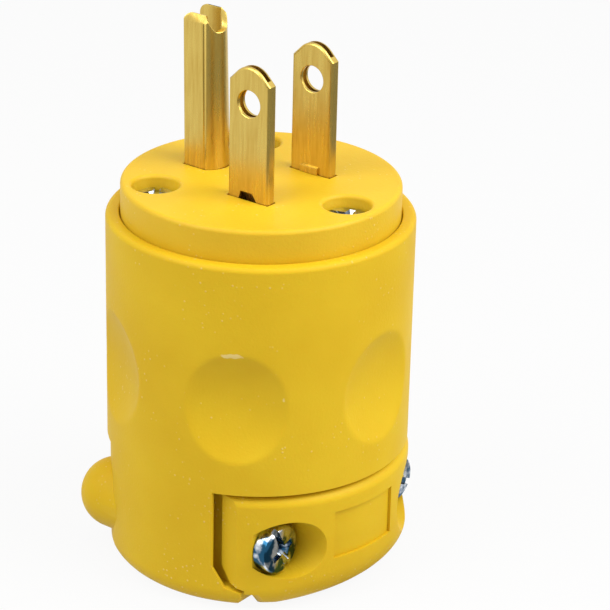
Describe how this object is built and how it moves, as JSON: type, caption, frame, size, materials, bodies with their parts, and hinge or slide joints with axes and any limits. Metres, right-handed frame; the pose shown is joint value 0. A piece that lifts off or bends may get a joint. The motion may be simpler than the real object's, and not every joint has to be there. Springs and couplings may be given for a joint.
{
  "type": "power plug",
  "caption": "Round rewirable mains plug with flat blades and a hollow ground pin, finger dimples around the body and a screw-down cord clamp at the rear.",
  "frame": {"origin": "centre of the rear rest face, on the plug's axis", "axes": "+Z along the axis towards the blades, +X towards the cord clamp, ground pin on the -X side of the blades"},
  "size_m": [0.0401, 0.0398, 0.0726],
  "materials": {
    "body": "satin moulded yellow vinyl",
    "face": "satin moulded yellow plastic",
    "block": "moulded dark thermoset",
    "brass": "rolled brass, lightly tarnished",
    "nickel": "nickel plated",
    "green_screw": "green dyed plating",
    "zinc": "bright zinc plating"
  },
  "bodies": {
    "plug": {"body_shell": "body", "front_face": "face", "terminal_block": "block", "neutral_blade": "brass", "hot_blade": "brass", "ground_pin": "brass", "neutral_terminal_screw": "nickel", "hot_terminal_screw": "brass", "ground_terminal_screw": "green_screw", "neutral_wire_plate": "nickel", "hot_wire_plate": "brass", "ground_wire_plate": "nickel", "face_screw_front": "zinc", "face_screw_near": "zinc", "face_screw_far": "zinc", "clamp_nut_near": "zinc", "clamp_nut_far": "zinc"},
    "clamp": {"cord_clamp": "body", "clamp_screw_near": "zinc", "clamp_screw_far": "zinc"}
  },
  "joints": [
    {"name": "clamp_slide", "type": "slide", "parent": "plug", "child": "clamp", "axis": [1, 0, 0], "range_m": [0, 0.0085]}
  ]
}
